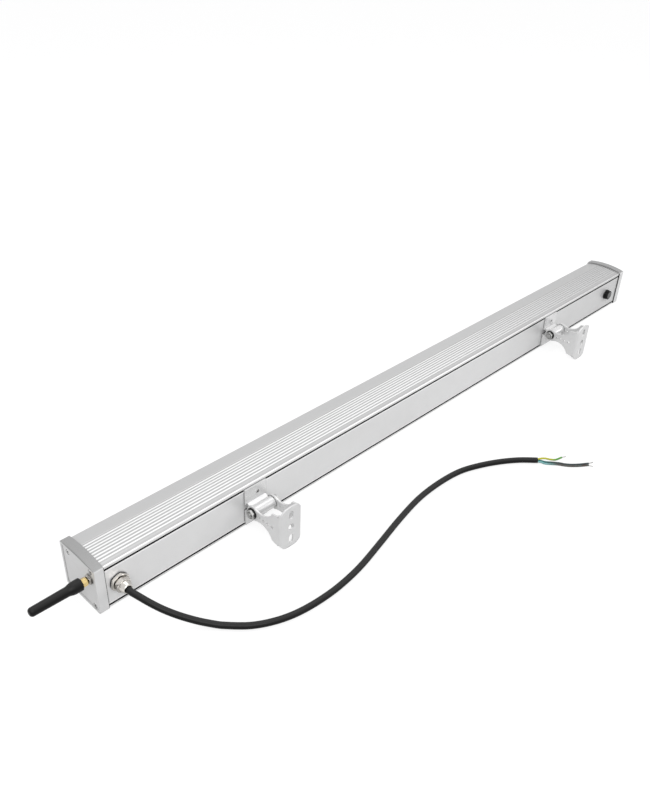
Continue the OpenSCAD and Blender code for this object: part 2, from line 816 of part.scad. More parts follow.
module gland_nut() {
    hex_top = gland_neck_z - 0.5;
    crown_r = gland_nut_af / 2 - 0.6;
    rim_r = gland_seal_r;
    color(nickel) on_front(gland_x, gland_z) difference() {
        union() {
            rotate([0, 0, gland_turn + 12]) hex_body(gland_nut_af, gland_nut_z, hex_top);
            translate([0, 0, hex_top - 1]) rotate_extrude() polygon([
                [0, 0], [crown_r, 0], [crown_r, 1.6], [crown_r - 0.4, 3.2],
                [rim_r + 0.4, gland_out - hex_top + 0.4], [rim_r, gland_out - hex_top + 1],
                [0, gland_out - hex_top + 1]
            ]);
        }
        translate([0, 0, gland_nut_z - eps])
            cylinder(r = gland_neck_r + fit, h = gland_neck_z + 0.2 - gland_nut_z + eps);
        cylinder(r = gland_seal_r + fit, h = gland_out - 2);
        cylinder(r = gland_mouth_r, h = gland_out + eps);
    }
}

module gland_seal() {
    color(black) on_front(gland_x, gland_z)
        ring(gland_seal_r, cable_d / 2 + fit, gland_neck_z - 2.9, gland_out - 2.1);
}

module gland_washer() {
    color(black) on_front(gland_x, gland_z) ring(gland_af / 2 + 0.3, gland_r + 2 * fit, 0, gland_washer_t);
}

module gland_locknut() {
    color(nickel) on_front(gland_x, gland_z) hex_nut(gland_af + 2, gland_r + fit, -wall - 4, -wall);
}

module vent_plug() {
    knurl_n = 12;
    collar_z = 3;
    color(black) on_front(vent_x, vent_z) difference() {
        union() {
            translate([0, 0, 1]) cylinder(r = vent_head_r, h = collar_z - 1);
            translate([0, 0, 1]) cylinder(r = vent_head_r - 0.5, h = vent_out - 1.5);
            translate([0, 0, -gland_stem]) cylinder(r = vent_r, h = gland_stem + 2);
        }
        for (i = [1 : knurl_n]) rotate([0, 0, (i + 0.5) * 360 / knurl_n])
            translate([vent_head_r + 0.1, 0, collar_z + 0.3]) cylinder(r = 1.1, h = vent_out);
        translate([0, 0, -gland_stem - eps]) cylinder(r = 2.5, h = gland_stem + vent_out - 1);
    }
}

module vent_membrane() {
    color("dimgray") on_front(vent_x, vent_z) ring(5.5, 0, vent_out - 0.5, vent_out);
}

module vent_seal() {
    color(black) on_front(vent_x, vent_z) ring(vent_head_r - 0.4, vent_r + 2 * fit, 0, 1);
}

module vent_nut() {
    color(black) on_front(vent_x, vent_z) hex_nut(16, vent_r + fit, -wall - 4, -wall);
}

module antenna_jack() {
    color("goldenrod") on_near_cap() difference() {
        union() {
            hex_body(8, -cap_plate - jack_flange_t, -cap_plate);
            translate([0, 0, -cap_plate - eps]) cylinder(r = jack_r, h = cap_plate + jack_end_z + eps);
            translate([0, 0, jack_tail_z]) cylinder(r = 1.6, h = -jack_tail_z);
        }
        translate([0, 0, jack_end_z - 4]) cylinder(r = 0.65, h = 4 + eps);
    }
}

module jack_nut() {
    color(nickel) on_near_cap() hex_nut(jack_nut_af, jack_r + fit, jack_nut_z, jack_nut_z + jack_nut_t);
}

module jack_washer() {
    color(nickel) on_near_cap() ring(jack_nut_af / 2 + 0.75, jack_r + 2 * fit, -panel_d, jack_nut_z);
}

module antenna_nut() {
    shoulder_t = 1;
    color("gold") on_near_cap() difference() {
        hex_body(8, coupling_z[0], coupling_z[1]);
        translate([0, 0, coupling_z[0] - eps])
            cylinder(r = jack_r + 0.075, h = coupling_z[1] - coupling_z[0] - shoulder_t + eps);
        translate([0, 0, coupling_z[0]]) cylinder(r = ferrule_r + 0.1, h = coupling_z[1]);
    }
}

module antenna_ferrule() {
    color("gold") on_near_cap() {
        translate([0, 0, ferrule_z]) cylinder(r = jack_r - 0.075, h = 1.6);
        translate([0, 0, ferrule_z]) cylinder(r = ferrule_r, h = sleeve_z + 4.4 - ferrule_z);
        translate([0, 0, ferrule_z - 3.2]) cylinder(r = 0.5, h = 3.2 + eps);
    }
}

module antenna_sleeve() {
    // Outline as [radius, height over the cap]: thick foot, shoulder and slow taper
    tip_r = 3.2;
    color(black) on_near_cap() difference() {
        rotate_extrude() {
            polygon([
                [0, sleeve_z], [sleeve_foot_r - 0.6, sleeve_z], [sleeve_foot_r, sleeve_z + 0.6],
                [sleeve_foot_r, 17.5], [sleeve_foot_r - 0.35, 19.5], [5.2, 22.5], [5, 24],
                [sleeve_tip_r, antenna_len - tip_r], [sleeve_tip_r - tip_r, antenna_len - tip_r],
                [sleeve_tip_r - tip_r, antenna_len], [0, antenna_len]
            ]);
            intersection() {
                translate([sleeve_tip_r - tip_r, antenna_len - tip_r]) circle(r = tip_r);
                rect(0, sleeve_tip_r, antenna_len - tip_r - 0.5, antenna_len);
            }
        }
        translate([0, 0, sleeve_z - eps]) cylinder(r = ferrule_r + fit, h = 4.6 + eps);
        cylinder(r = 1.25, h = antenna_len - 6);
    }
}

module antenna_radiator() {
    start = sleeve_z + 4.4;
    color("goldenrod") on_near_cap() translate([0, 0, start]) cylinder(r = 1.2, h = antenna_len - 7 - start);
}

// The clip's plate and hooks, seen along the bar
module clip_base_section() {
    rect(clip_y1, clip_y0, hook_low[0], hook_high[1]);
    for (hook = [hook_low, hook_high]) rect(clip_y0 - eps, barb_y[1], hook[0], hook[1]);
    rect(barb_y[0], barb_y[1], hook_low[0] - barb_reach, hook_low[1]);
    rect(barb_y[0], barb_y[1], hook_high[0], hook_high[1] + barb_reach);
}

// The neck, which narrows from the plate, and the pivot barrel
module clip_neck_section() {
    root_h = 6;
    end_h = 3.2;
    end_y = pivot_y + barrel_r - 2.3;
    polygon([
        [clip_y1 + 0.5, pivot_z + root_h], [end_y, pivot_z + end_h],
        [end_y, pivot_z - end_h], [clip_y1 + 0.5, pivot_z - root_h]
    ]);
    translate([pivot_y, pivot_z]) circle(r = barrel_r);
}

// The hollow behind the neck
module clip_hollow_section() {
    floor_y = pivot_y + barrel_r + 1;
    polygon([
        [clip_y0 + 0.1, pivot_z + 3.8], [clip_y1 + 1.2, pivot_z + 3.6], [floor_y, pivot_z + 1.6],
        [floor_y, pivot_z - 1.6], [clip_y1 + 1.2, pivot_z - 3.6], [clip_y0 + 0.1, pivot_z - 3.8]
    ]);
}

module rail_clip(x) {
    difference() {
        translate([x, 0, 0]) {
            along_x(clip_len) clip_base_section();
            along_x(barrel_len) clip_neck_section();
        }
        translate([x, 0, 0]) along_x(clip_len + eps) clip_hollow_section();
        on_pivot(x) translate([0, 0, -clip_len]) cylinder(r = pivot_r + fit, h = 2 * clip_len);
        translate([x, pivot_y, pivot_z]) rotate([slit_turn, 0, 0])
            translate([-clip_len, -2 * barrel_r, -slit_w / 2]) cube([2 * clip_len, 2 * barrel_r, slit_w]);
        on_front(x + lock_dx, lock_z) {
            cylinder(r = lock_r + fit, h = 2 * clip_plate_t);
            translate([0, 0, clip_gap + clip_plate_t - 0.7]) cylinder(r1 = lock_r - 0.2, r2 = lock_r + 0.9, h = 1);
        }
    }
}

module rail_clip_near() {
    color(alloy) rail_clip(near_clip_x);
}
module rail_clip_far() {
    color(alloy) rail_clip(far_clip_x);
}

// Grub screw with a hex socket, its point just off the bar
module clip_screw(x) {
    tip_z = clip_gap - 0.05;
    face_z = clip_gap + clip_plate_t - lock_sunk;
    on_front(x + lock_dx, lock_z) difference() {
        translate([0, 0, tip_z]) cylinder(r = lock_r, h = face_z - tip_z);
        translate([0, 0, face_z - 1]) cylinder(r = lock_r * 0.6, h = 2, $fn = 6);
    }
}

module clip_screw_near() {
    color(steel) clip_screw(near_clip_x);
}
module clip_screw_far() {
    color(steel) clip_screw(far_clip_x);
}

// One wall of the bent sheet, open towards the bar
module bend_outline(half_w, end_y, r) {
    rect(-half_w, half_w, end_y + r, cheek_r + eps);
    rect(r - half_w, half_w - r, end_y, end_y + 2 * r);
    for (s = [-1, 1]) translate([s * (half_w - r), end_y + r]) circle(r = r);
}

// Cheek seen along X, as [y, z] from the pivot, without the bend
module cheek_section() {
    outer_y = -foot_reach + bend_len - eps / 2;
    difference() {
        union() {
            circle(r = cheek_r);
            rect(outer_y, 0, -cheek_r, cheek_r);
            for (s = [-1, 1]) polygon([
                [outer_y, 0], [outer_y, s * (horn_h + horn_flare)], [outer_y + waist_at - 4, s * horn_h],
                [-waist_at, s * horn_h], [-waist_at, 0]
            ]);
        }
        for (s = [-1, 1]) translate([-waist_at, s * (waist_r + waist)]) circle(r = waist_r, $fn = 128);
    }
}

// Foot plate and bend seen along Y, as [x, z] from the pivot. The plate would be
// a little wider than the bend, so that its roundings cross the bend's faces
module plate_section() {
    side = plate_w - plate_r;
    top = foot_half_h - plate_r;
    rect(-plate_w, plate_w, -top, top);
    rect(-side, side, -foot_half_h, foot_half_h);
    for (x = [-side, side], z = [-top, top]) translate([x, z]) circle(r = plate_r);
}

module fixing_holes() {
    circle(d = foot_hole_d);
    for (s = [-1, 1]) translate([0, s * slot_offset]) {
        straight = slot_len - slot_w;
        rect(-slot_w / 2, slot_w / 2, -straight / 2, straight / 2);
        for (e = [-1, 1]) translate([0, e * straight / 2]) circle(d = slot_w);
    }
}

module foot_bracket(x) {
    translate([x, pivot_y, pivot_z]) difference() {
        intersection() {
            linear_extrude(height = 2 * foot_half_h, center = true) difference() {
                bend_outline(cheek_out, -foot_reach, bend_r);
                bend_outline(cheek_in, foot_t - foot_reach, bend_r - foot_t);
            }
            union() {
                along_x(2 * cheek_out + eps) cheek_section();
                translate([0, bend_len - foot_reach, 0]) rotate([90, 0, 0])
                    linear_extrude(height = bend_len + eps) plate_section();
            }
        }
        translate([0, 2 * foot_t - foot_reach, 0]) rotate([90, 0, 0])
            linear_extrude(height = 3 * foot_t) fixing_holes();
        rotate([0, 90, 0]) cylinder(r = pivot_r + fit, h = 3 * cheek_out, center = true);
        for (hole = cheek_holes) translate([0, -hole[0], 0]) rotate([0, 90, 0])
            cylinder(r = hole[1], h = 3 * cheek_out, center = true);
    }
}

module foot_bracket_near() {
    color(alloy) foot_bracket(near_clip_x);
}
module foot_bracket_far() {
    color(alloy) foot_bracket(far_clip_x);
}

module pivot_bolt(x) {
    head_x = cheek_out + washer_t;
    on_pivot(x) difference() {
        union() {
            translate([0, 0, -head_x - nut_t - bolt_end])
                cylinder(r = pivot_r, h = 2 * head_x + nut_t + bolt_end + eps);
            hex_body(nut_af, head_x, head_x + bolt_head_t);
        }
        translate([0, 0, head_x + bolt_head_t - 0.4]) cylinder(r = 3.4, h = 1);
    }
}

module pivot_nut(x) {
    nut_x = cheek_out + washer_t;
    on_pivot(x) hex_nut(nut_af, pivot_r + fit, -nut_x - nut_t, -nut_x);
}

module pivot_washers(x) {
    on_pivot(x) {
        ring(washer_r, pivot_r + 2 * fit, cheek_out, cheek_out + washer_t);
        ring(washer_r, pivot_r + 2 * fit, -cheek_out - washer_t, -cheek_out);
    }
}

module pivot_bolt_near() {
    color(steel) pivot_bolt(near_clip_x);
}
module pivot_bolt_far() {
    color(steel) pivot_bolt(far_clip_x);
}
module pivot_nut_near() {
    color(steel) pivot_nut(near_clip_x);
}
module pivot_nut_far() {
    color(steel) pivot_nut(far_clip_x);
}
module pivot_washers_near() {
    color(black) pivot_washers(near_clip_x);
}
module pivot_washers_far() {
    color(black) pivot_washers(far_clip_x);
}

// A smooth curve through a route's points, split into steps between each pair
function curve_at(a, b, c, d, t) = 0.5 * (2 * b + (c - a) * t
    + (2 * a - 5 * b + 4 * c - d) * t * t + (3 * b - a - 3 * c + d) * t * t * t);
function route_point(p, i) = i < 0 ? 2 * p[0] - p[1]
    : i >= len(p) ? 2 * p[len(p) - 1] - p[len(p) - 2] : p[i];
function smooth(p, steps) = [
    for (i = [0 : len(p) - 2], s = [0 : steps - 1])
        curve_at(route_point(p, i - 1), p[i], p[i + 1], route_point(p, i + 2), s / steps),
    p[len(p) - 1]
];
function unit(v) = v / norm(v);
function heading(p, i) = unit(p[min(i + 1, len(p) - 1)] - p[max(i - 1, 0)]);

// A tube along points, with a flat face at each end
module tube(points, d, sides, first_heading = undef) {
    n = len(points);
    rings = [for (i = [0 : n - 1])
        let (ahead = i == 0 && !is_undef(first_heading) ? first_heading : heading(points, i),
            side = unit(cross(ahead, [0, 0, 1])), up = cross(side, ahead))
        for (k = [0 : sides - 1])
            points[i] + d / 2 * (cos(k * 360 / sides) * up + sin(k * 360 / sides) * side)];
    walls = [for (i = [0 : n - 2], k = [0 : sides - 1])
        let (a = i * sides + k, b = i * sides + (k + 1) % sides)
        each [[a, b, a + sides], [b, b + sides, a + sides]]];
    ends = [for (k = [1 : sides - 2])
        each [[0, k + 1, k], [(n - 1) * sides, (n - 1) * sides + k, (n - 1) * sides + k + 1]]];
    polyhedron(rings, concat(walls, ends));
}

// The curve would dip a little where it reaches the floor, so it is held above it
cable_points = [
    for (p = smooth([for (q = cable_route) cable_exit + q], 2)) [p[0], p[1], max(p[2], cable_d / 2)]
];
cable_end = cable_points[len(cable_points) - 1];
end_heading = heading(cable_points, len(cable_points) - 1);
end_side = unit(cross(end_heading, [0, 0, 1]));
function core_points(side, up, route) =
    [for (p = concat([side * end_side + [0, 0, up]], route)) cable_end + p];
earth_points = core_points(0, core_up, earth_route);
live_points = core_points(core_side, core_down, live_route);
neutral_points = core_points(-core_side, core_down, neutral_route);

module power_cable() {
    color(black) tube(cable_points, cable_d, 10, [0, -1, 0]);
}

module core(points) {
    tube(points, core_d, 8, end_heading);
}

module earth_wire() {
    color("limegreen") core(earth_points);
}
module live_wire() {
    color("saddlebrown") core(live_points);
}
module neutral_wire() {
    color("teal") core(neutral_points);
}

// Bare end of a core, past its insulation
module bare_tip(points, tip) {
    last = len(points) - 1;
    tube([points[last], points[last] + tip], tip_d, 8, heading(points, last));
}

module wire_tips() {
    color("lightgray") {
        bare_tip(earth_points, earth_tip);
        bare_tip(live_points, live_tip);
        bare_tip(neutral_points, neutral_tip);
    }
}

housing_profile();
front_glass();
glass_seal();
led_board();
led_chips();
lenses();
lens_holders();
board_screws();
driver_board();
driver_components();
radio_module();
antenna_pigtail();
inner_supply_lead();
supply_wires();
led_leads();
end_cap_near();
end_cap_far();
end_gasket_near();
end_gasket_far();
cap_screws_near();
cap_screws_far();
gland_body();
gland_nut();
gland_seal();
gland_washer();
gland_locknut();
vent_plug();
vent_membrane();
vent_seal();
vent_nut();
antenna_jack();
jack_nut();
jack_washer();
antenna_nut();
antenna_ferrule();
antenna_sleeve();
antenna_radiator();
rail_clip_near();
rail_clip_far();
clip_screw_near();
clip_screw_far();
foot_bracket_near();
foot_bracket_far();
pivot_bolt_near();
pivot_bolt_far();
pivot_nut_near();
pivot_nut_far();
pivot_washers_near();
pivot_washers_far();
power_cable();
earth_wire();
live_wire();
neutral_wire();
wire_tips();
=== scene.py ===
"""Finishes, cable, wires and studio of the outdoor wall washer light, in metres."""

import json
import math

import bpy
from mathutils import Matrix, Vector


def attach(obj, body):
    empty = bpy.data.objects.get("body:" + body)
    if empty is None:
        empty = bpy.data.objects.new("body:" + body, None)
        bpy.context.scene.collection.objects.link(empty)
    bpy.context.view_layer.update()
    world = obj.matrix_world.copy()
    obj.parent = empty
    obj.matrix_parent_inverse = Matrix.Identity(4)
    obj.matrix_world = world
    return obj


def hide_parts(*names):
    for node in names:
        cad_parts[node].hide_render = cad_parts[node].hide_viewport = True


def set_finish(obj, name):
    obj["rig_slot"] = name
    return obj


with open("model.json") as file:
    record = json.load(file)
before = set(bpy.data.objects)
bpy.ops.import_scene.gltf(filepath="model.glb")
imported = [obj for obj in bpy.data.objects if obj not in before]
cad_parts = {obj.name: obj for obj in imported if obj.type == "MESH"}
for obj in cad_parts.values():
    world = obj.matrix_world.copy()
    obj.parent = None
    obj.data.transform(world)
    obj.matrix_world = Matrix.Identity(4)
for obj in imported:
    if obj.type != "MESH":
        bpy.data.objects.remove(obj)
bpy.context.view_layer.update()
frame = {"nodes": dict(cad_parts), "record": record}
MM = 0.001

# Camera, fitted to the bar's long edges, its near end and its ribs
CAMERA_PLACE = (-0.75384, -0.55924, 0.61197)
CAMERA_RIGHT = (0.70435, -0.70926, 0.02907)
CAMERA_UP = (0.37081, 0.40254, 0.83694)
FOCAL_MM = 37.42
SENSOR_MM = 36

# Places and sizes of the part, as in its source
FRONT_Y = -28.4 * MM
RIB_PITCH = 3.8 * MM
ANTENNA_Y = -19.9 * MM
ANTENNA_Z = 40 * MM
CABLE_D = 7 * MM
CORE_D = 2.3 * MM
TIP_D = 1.4 * MM

# Bands and steps of painted highlights and shade on bar and caps, each from its start to its end
RIBBED_TOP_Z = (53.3 * MM, 53.6 * MM)
RIBS_Y = (-23.2 * MM, 8.6 * MM)
GROOVE_FADE_Y = (-20 * MM, 6 * MM)
BEHIND_EDGE_Y = (FRONT_Y + 1.4 * MM, FRONT_Y + 3.4 * MM)
FRONT_SKIN_Y = (FRONT_Y + 1.1 * MM, FRONT_Y + 1.4 * MM)
RAIL_DEPTH_Y = (FRONT_Y + 0.15 * MM, FRONT_Y + 3.8 * MM)
RAILS_Z = ((0.9 * MM, 4.9 * MM), (47.7 * MM, 51.8 * MM))
LIPS_Z = ((4.6 * MM, 6.4 * MM), (45.9 * MM, 47.9 * MM))
CORNER_Z = (52.3 * MM, 52.6 * MM)
NEAR_END_X = (-487.2 * MM, -486.6 * MM)
HIGHLIGHT_FADE_X = (0, 450 * MM)
FAR_SHADE_X = (100 * MM, 500 * MM)
CAP_TOP_Z = (54.3 * MM, 55.2 * MM)

# Darkest line of the painted shade in the rearmost groove
GROOVE_Y = 7.9 * MM

# Thread that the finish draws on the antenna's jack
THREAD_R = 3.2 * MM
THREAD_PITCH = 0.7 * MM

# Routes in millimetres: the cable's from the gland's mouth, the cores' from the cable's end
GLAND_EXIT = Vector((-475.5, -44.9, 27.3)) * MM
CURVE_STEPS = 6
# Height of the cable's middle where it lies on the floor
FLOOR = -23.8
CABLE_ROUTE = [
    (0, 0, 0), (0.3, -5, -0.1), (2.2, -12, -0.9), (6.9, -24.3, -4.2), (12.5, -35, -8.1),
    (19, -44.3, -12.2), (26.1, -52.8, -16.1), (33.6, -61.1, -19.6), (41.3, -69.2, -22.3),
    (48.8, -77.6, FLOOR), (59, -88.4, FLOOR), (69, -97.2, FLOOR), (82, -105.2, FLOOR),
    (98, -112, FLOOR), (116, -116.5, FLOOR), (139, -119, FLOOR), (166, -119, FLOOR),
    (200, -115, FLOOR), (240, -106, FLOOR), (286, -95, FLOOR), (330, -87, FLOOR),
    (370, -85.5, FLOOR), (404, -89, FLOOR), (431, -98.5, FLOOR), (455, -111, FLOOR),
    (475, -125, FLOOR), (491, -140.5, FLOOR),
]
# Height of a core's middle where it lies on the floor
CORE_Z = -2.35
# Name: place in the cable's end [side, up], route, bare tip
CORES = {
    "earth": ((0, 1.6), [(4.5, -2.2, 1.6), (9, -5.5, 1.2), (14.5, -9.5, -1),
                         (21, -13.7, CORE_Z), (30, -16, CORE_Z)], (6, -2.4, 0)),
    "live": ((1.5, -0.8), [(1.8, -4.4, -1.5), (4.6, -9.9, CORE_Z), (14, -20.8, CORE_Z),
                           (18.4, -27.9, CORE_Z), (23.8, -34.3, CORE_Z), (31.4, -40.9, CORE_Z),
                           (40.5, -47.2, CORE_Z)], (1.8, -4.9, 0)),
    "neutral": ((-1.5, -0.8), [(4.5, -2.7, -1.7), (7.7, -7.9, CORE_Z), (17, -19, CORE_Z),
                               (21.2, -26.2, CORE_Z), (26.7, -32.6, CORE_Z),
                               (34.5, -39.1, CORE_Z), (43.8, -45.3, CORE_Z)], (6.1, -2.4, 0)),
}


# Camera

def make_camera():
    data = bpy.data.cameras.new("camera")
    data.lens = FOCAL_MM
    data.sensor_width = SENSOR_MM
    data.clip_start = 0.02
    data.clip_end = 40
    camera = bpy.data.objects.new("camera", data)
    right = Vector(CAMERA_RIGHT).normalized()
    up = Vector(CAMERA_UP).normalized()
    back = right.cross(up).normalized()
    up = back.cross(right)
    turn = Matrix((right, up, back)).transposed().to_4x4()
    camera.matrix_world = Matrix.Translation(CAMERA_PLACE) @ turn
    bpy.context.scene.collection.objects.link(camera)
    bpy.context.scene.camera = camera


make_camera()


# Cable and wires

def smooth(points, steps):
    """A smooth line through the points, with that many steps between each two."""
    p = [2 * points[0] - points[1], *points, 2 * points[-1] - points[-2]]
    out = []
    for i in range(1, len(p) - 2):
        a, b, c, d = p[i - 1: i + 3]
        for s in range(steps):
            t = s / steps
            out.append(0.5 * (2 * b + (c - a) * t + (2 * a - 5 * b + 4 * c - d) * t * t
                              + (3 * b - a - 3 * c + d) * t ** 3))
    return out + [points[-1].copy()]


def tube(name, lines, radius, sides=20):
    """A mesh with one round tube along each line of points, closed by flat ends."""
    verts, faces, flat = [], [], []
    for line in lines:
        first, last = len(verts), len(line) - 1
        for i, place in enumerate(line):
            ahead = line[min(i + 1, last)] - line[max(i - 1, 0)]
            side = ahead.cross(Vector((0, 0, 1))).normalized()
            up = side.cross(ahead).normalized()
            for k in range(sides):
                turn = math.tau * k / sides
                verts.append(place + radius * (math.cos(turn) * up + math.sin(turn) * side))
        for i in range(last):
            for k in range(sides):
                a, b = first + i * sides + k, first + i * sides + (k + 1) % sides
                faces.append((a, b, b + sides, a + sides))
        flat += [len(faces), len(faces) + 1]
        faces.append([first + k for k in reversed(range(sides))])
        faces.append([first + last * sides + k for k in range(sides)])
    mesh = bpy.data.meshes.new(name)
    mesh.from_pydata(verts, [], faces)
    for i, face in enumerate(mesh.polygons):
        face.use_smooth = i not in flat
    piece = bpy.data.objects.new(name, mesh)
    bpy.context.scene.collection.objects.link(piece)
    return piece


def above_floor(line, radius):
    """Lifts the points so that a tube of that radius lies on the floor, not in it."""
    for p in line:
        p.z = max(p.z, radius)


def make_cable():
    """The cable's piece, and the line that it follows."""
    line = smooth([GLAND_EXIT + Vector(p) * MM for p in CABLE_ROUTE], CURVE_STEPS)
    above_floor(line, CABLE_D / 2)
    piece = tube("cable_jacket", [line], CABLE_D / 2)
    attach(piece, "lamp")
    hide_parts("power_cable")
    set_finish(piece, "cable_jacket")
    return piece, line


def strands(start, step, twist=110, steps=12):
    """One straight strand and six around it, twisted by that angle over a bare tip."""
    axis = step.normalized()
    side = axis.cross(Vector((0, 0, 1))).normalized()
    up = side.cross(axis)
    spread = TIP_D / 3
    lines = [[start, start + step]]
    for k in range(6):
        line = []
        for i in range(steps + 1):
            t = i / steps
            turn = math.radians(60 * k + twist * t)
            off = spread * (math.cos(turn) * side + math.sin(turn) * up)
            line.append(start + step * t + off)
        lines.append(line)
    return lines


def make_cores(cable_line):
    """The three cores, the lines that they follow, and one piece with all bare strands."""
    end = cable_line[-1]
    ahead = (end - cable_line[-2]).normalized()
    side = ahead.cross(Vector((0, 0, 1))).normalized()
    pieces, lines, bare = {}, {}, []
    for name, ((across, rise), route, tip) in CORES.items():
        first = end + (across * side + Vector((0, 0, rise))) * MM
        line = smooth([first] + [end + Vector(p) * MM for p in route], CURVE_STEPS)
        above_floor(line, CORE_D / 2)
        piece = tube(name + "_core", [line], CORE_D / 2)
        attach(piece, "lamp")
        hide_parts(name + "_wire")
        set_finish(piece, name + "_insulation")
        pieces[name], lines[name] = piece, line
        bare += strands(line[-1], Vector(tip) * MM)
    tips = tube("bare_strands", bare, TIP_D / 6, 8)
    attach(tips, "lamp")
    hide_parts("wire_tips")
    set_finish(tips, "bare_conductor")
    return pieces, lines, tips


cable, cable_line = make_cable()
cores, core_lines, tips = make_cores(cable_line)


# Materials

LOOKS = {}


class Look:
    """One procedural finish: a Principled shader fed from places on the object."""

    def __init__(self, slot, **fixed):
        self.slot = slot
        self.material = bpy.data.materials.new(slot)
        self.material.use_nodes = True
        self.tree = self.material.node_tree
        self.shader = self.tree.nodes["Principled BSDF"]
        self.place = self.node("ShaderNodeTexCoord").outputs["Object"]
        for socket, value in fixed.items():
            self.shader.inputs[socket.replace("_", " ")].default_value = value

    def node(self, kind, **settings):
        made = self.tree.nodes.new(kind)
        for key, value in settings.items():
            setattr(made, key, value)
        return made

    def feed(self, socket, value):
        """Links an output to a socket, or sets the socket to a plain value."""
        if isinstance(value, bpy.types.NodeSocket):
            self.tree.links.new(value, socket)
        else:
            socket.default_value = value

    def axes(self, vector=None):
        made = self.node("ShaderNodeSeparateXYZ")
        self.feed(made.inputs[0], vector or self.place)
        return made.outputs

    def mapped(self, **settings):
        """Places on the object, scaled or turned."""
        made = self.node("ShaderNodeMapping")
        self.feed(made.inputs["Vector"], self.place)
        for socket, value in settings.items():
            made.inputs[socket].default_value = value
        return made.outputs["Vector"]

    def noise(self, scale, detail=3, place=None):
        made = self.node("ShaderNodeTexNoise")
        self.feed(made.inputs["Vector"], place or self.place)
        made.inputs["Scale"].default_value = scale
        made.inputs["Detail"].default_value = detail
        made.inputs["Roughness"].default_value = 0.55
        return made.outputs["Fac"]

    def calc(self, operation, a, b=0.0, clamp=False):
        made = self.node("ShaderNodeMath", operation=operation, use_clamp=clamp)
        self.feed(made.inputs[0], a)
        self.feed(made.inputs[1], b)
        return made.outputs[0]

    def times(self, a, b):
        return self.calc("MULTIPLY", a, b)

    def reach(self, a, b):
        """Distance from the line on which both values are 0."""
        squares = [self.times(value, value) for value in (a, b)]
        return self.calc("SQRT", self.calc("ADD", *squares))

    def remap(self, value, low, high, to_low=0.0, to_high=1.0):
        made = self.node("ShaderNodeMapRange", clamp=True)
        self.feed(made.inputs["Value"], value)
        for key, number in zip(("From Min", "From Max", "To Min", "To Max"),
                               (low, high, to_low, to_high)):
            made.inputs[key].default_value = number
        return made.outputs["Result"]

    def spread(self, noise, to_low=0.0, to_high=1.0):
        """A noise's usual values, stretched over the whole of a range."""
        return self.remap(noise, 0.3, 0.7, to_low, to_high)

    def between(self, value, low, high, soft=0.1 * MM):
        """1 inside a band of the value, 0 outside."""
        rise = self.remap(value, low - soft, low + soft)
        fall = self.remap(value, high - soft, high + soft, 1.0, 0.0)
        return self.times(rise, fall)

    def blend(self, share, a, b):
        """Colour a where share is 0, colour b where it is 1."""
        made = self.node("ShaderNodeMix", data_type="RGBA")
        self.feed(made.inputs["Factor"], share)
        for socket, colour in zip(colour_sockets(made.inputs), (a, b)):
            if not isinstance(colour, bpy.types.NodeSocket):
                colour = (*colour, 1)
            self.feed(socket, colour)
        return colour_sockets(made.outputs)[0]

    def edges(self, radius):
        """A normal that rounds sharp edges, so that they catch the light."""
        made = self.node("ShaderNodeBevel", samples=6)
        made.inputs["Radius"].default_value = radius
        return made.outputs["Normal"]

    def open_sky(self, distance):
        """1 on open surfaces, less in corners and beside other pieces."""
        made = self.node("ShaderNodeAmbientOcclusion", samples=8)
        made.inputs["Distance"].default_value = distance
        return made.outputs["AO"]

    def turned_up(self, low, high):
        """0 on surfaces that face down, 1 on those that face up."""
        normal = self.node("ShaderNodeTexCoord").outputs["Normal"]
        return self.remap(self.axes(normal)[2], low, high)

    def bump(self, height, distance, strength=1.0, under=None):
        made = self.node("ShaderNodeBump")
        self.feed(made.inputs["Height"], height)
        made.inputs["Distance"].default_value = distance
        made.inputs["Strength"].default_value = strength
        if under is not None:
            self.feed(made.inputs["Normal"], under)
        return made.outputs["Normal"]

    def finish(self, colour, roughness, normal=None):
        """Feeds the shader, and keeps the material for its slot."""
        self.feed(self.shader.inputs["Base Color"], colour)
        self.feed(self.shader.inputs["Roughness"], roughness)
        if normal is not None:
            self.feed(self.shader.inputs["Normal"], normal)
        LOOKS[self.slot] = self.material


def colour_sockets(sockets):
    return [s for s in sockets if s.type == "RGBA"]


def grey(value):
    return (value, value, value)


def smooth_metal(name, dark, light, metallic, rough):
    """Anodised metal with faint clouds, a fine grain, bright edges and painted shade where pieces
    meet.
    """
    look = Look(name, Metallic=metallic)
    clouds = look.spread(look.noise(30))
    grain = look.noise(1800)
    drawn = look.noise(1, 2, look.mapped(Scale=(2, 700, 700)))
    share = look.calc("ADD", look.times(clouds, 0.6), look.times(drawn, 0.4))
    colour = look.blend(share, grey(dark), grey(light))
    # Painted shade: dark lines where another piece stands on the surface, but not on the
    # ribbed top or beside the near cap
    place = look.axes()
    lit_share = look.remap(look.open_sky(2 * MM), 0.35, 0.85)
    lit_share = look.calc("MAXIMUM", lit_share, look.remap(place[2], *RIBBED_TOP_Z))
    lit_share = look.calc("MAXIMUM", lit_share, look.remap(place[0], *NEAR_END_X, 1.0, 0.0))
    colour = look.blend(lit_share, grey(0.1), colour)
    roughness = look.spread(grain, rough - 0.04, rough + 0.05)
    normal = look.bump(drawn, 0.01 * MM, 0.4, look.edges(0.4 * MM))
    return look, colour, roughness, look.bump(grain, 0.01 * MM, 0.3, normal)


